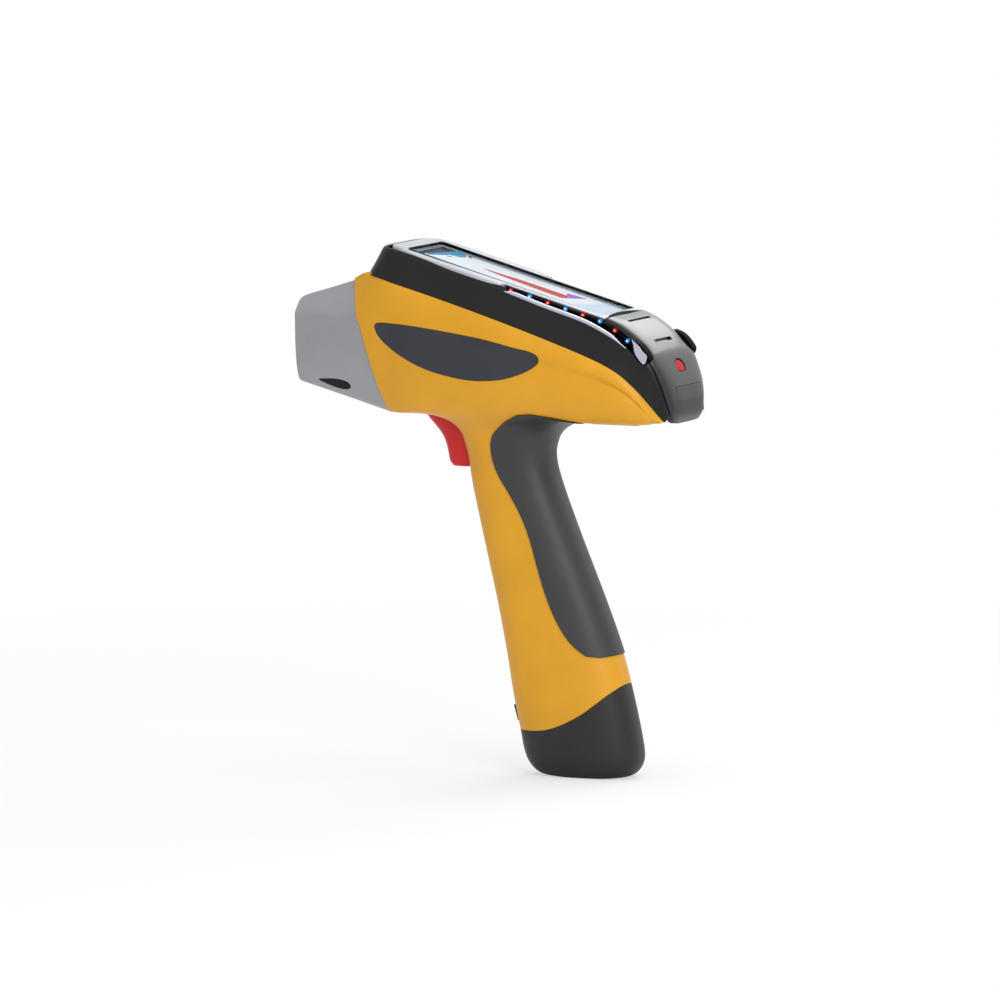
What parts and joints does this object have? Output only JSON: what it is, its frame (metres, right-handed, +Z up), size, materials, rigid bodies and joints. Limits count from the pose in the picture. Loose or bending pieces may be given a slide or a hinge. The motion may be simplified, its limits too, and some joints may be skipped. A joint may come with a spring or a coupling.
{
  "type": "handheld xrf analyzer",
  "caption": "Pistol-shaped handheld X-ray fluorescence analyzer with a tapered measuring nose, a sloped display deck, a red trigger and a battery that slides out of its grip.",
  "frame": {"origin": "middle of the flat foot under the grip", "axes": "+X from the measuring nose to the rear, +Y to the right-hand side of whoever holds it, +Z up"},
  "size_m": [0.2518, 0.0926, 0.3246],
  "materials": {
    "amber_shell": "satin moulded plastic",
    "dark_inlay": "fine matt",
    "soft_grip": "soft-touch rubber",
    "nose_grey": "satin grey paint",
    "faceplate_dark": "black anodised",
    "ring_metal": "turned",
    "film_amber": "thin amber film",
    "casing_black": "fine matt",
    "trim_silver": "bright",
    "frame_silver": "silver paint",
    "glass_clear": "clear",
    "panel_screen": "lit display",
    "bar_black": "gloss",
    "light_red": "lit lens",
    "light_blue": "lit lens",
    "cover_grey": "gloss metallic grey",
    "button_red": "gloss",
    "door_black": "satin",
    "steel": "plain steel",
    "board_green": "solder mask",
    "connector_metal": "plated",
    "vent_maroon": "matt",
    "trigger_red": "satin gloss",
    "switch_black": "matt",
    "battery_wrap": "heat-shrink wrap",
    "contact_brass": "plated",
    "machined_aluminium": "machined",
    "tube_ceramic": "glazed",
    "can_steel": "plain",
    "flex_amber": "flexible film"
  },
  "bodies": {
    "body": {"housing_left": "amber_shell", "housing_right": "amber_shell", "housing_screws": "steel", "side_inlay_left": "dark_inlay", "side_inlay_right": "dark_inlay", "grip_cover": "soft_grip", "nose_cap": "nose_grey", "nose_plugs": "casing_black", "nose_faceplate": "faceplate_dark", "window_ring": "ring_metal", "window_film": "film_amber", "upper_casing": "casing_black", "trim_strips": "trim_silver", "display_frame": "frame_silver", "display_glass": "glass_clear", "display_panel": "panel_screen", "light_bar_left": "bar_black", "light_bar_right": "bar_black", "red_lights": "light_red", "blue_lights": "light_blue", "rear_cover": "cover_grey", "button_spring": "steel", "port_door_pin": "steel", "port_board": "board_green", "port_connectors": "connector_metal", "underside_vent": "vent_maroon", "trigger_pin": "steel", "trigger_spring": "steel", "trigger_switch": "switch_black", "battery_contacts": "contact_brass", "measuring_block": "machined_aluminium", "xray_tube": "tube_ceramic", "collimator": "contact_brass", "detector": "can_steel", "preamp_board": "board_green", "filter_motor": "can_steel", "chassis": "machined_aluminium", "high_voltage_supply": "can_steel", "signal_board": "board_green", "main_board": "board_green", "display_cable": "flex_amber"},
    "trigger": {"trigger": "trigger_red"},
    "battery": {"battery_pack": "battery_wrap", "battery_cap": "casing_black"},
    "latch": {"battery_latch": "casing_black"},
    "power": {"power_button": "button_red"},
    "door": {"port_door": "door_black"},
    "filters": {"filter_wheel": "machined_aluminium"}
  },
  "joints": [
    {"name": "trigger_pull", "type": "hinge", "parent": "body", "child": "trigger", "pos_m": [-0.099, 0, 0.2235], "axis": [0, -1, 0], "range_deg": [0, 8], "stiffness_Nm_per_rad": 1.2, "springref_deg": -4.58, "deforming": ["trigger_spring"]},
    {"name": "battery_slide", "type": "slide", "parent": "body", "child": "battery", "axis": [0.2706, 0, -0.9627], "range_m": [0, 0.13]},
    {"name": "latch_press", "type": "slide", "parent": "body", "child": "latch", "axis": [0.9627, 0, 0.2706], "range_m": [0, 0.0015], "stiffness_N_per_m": 800, "springref_m": -0.001},
    {"name": "power_press", "type": "slide", "parent": "body", "child": "power", "axis": [-0.866, 0, -0.5], "range_m": [0, 0.0012], "stiffness_N_per_m": 1500, "springref_m": -0.0006, "deforming": ["button_spring"]},
    {"name": "door_swing", "type": "hinge", "parent": "body", "child": "door", "pos_m": [0.0591, 0, 0.2251], "axis": [0, 1, 0], "range_deg": [0, 100]},
    {"name": "filter_spin", "type": "hinge", "parent": "body", "child": "filters", "pos_m": [-0.17, 0.0115, 0.27046], "axis": [0.9613, 0, 0.2756], "continuous": true}
  ]
}
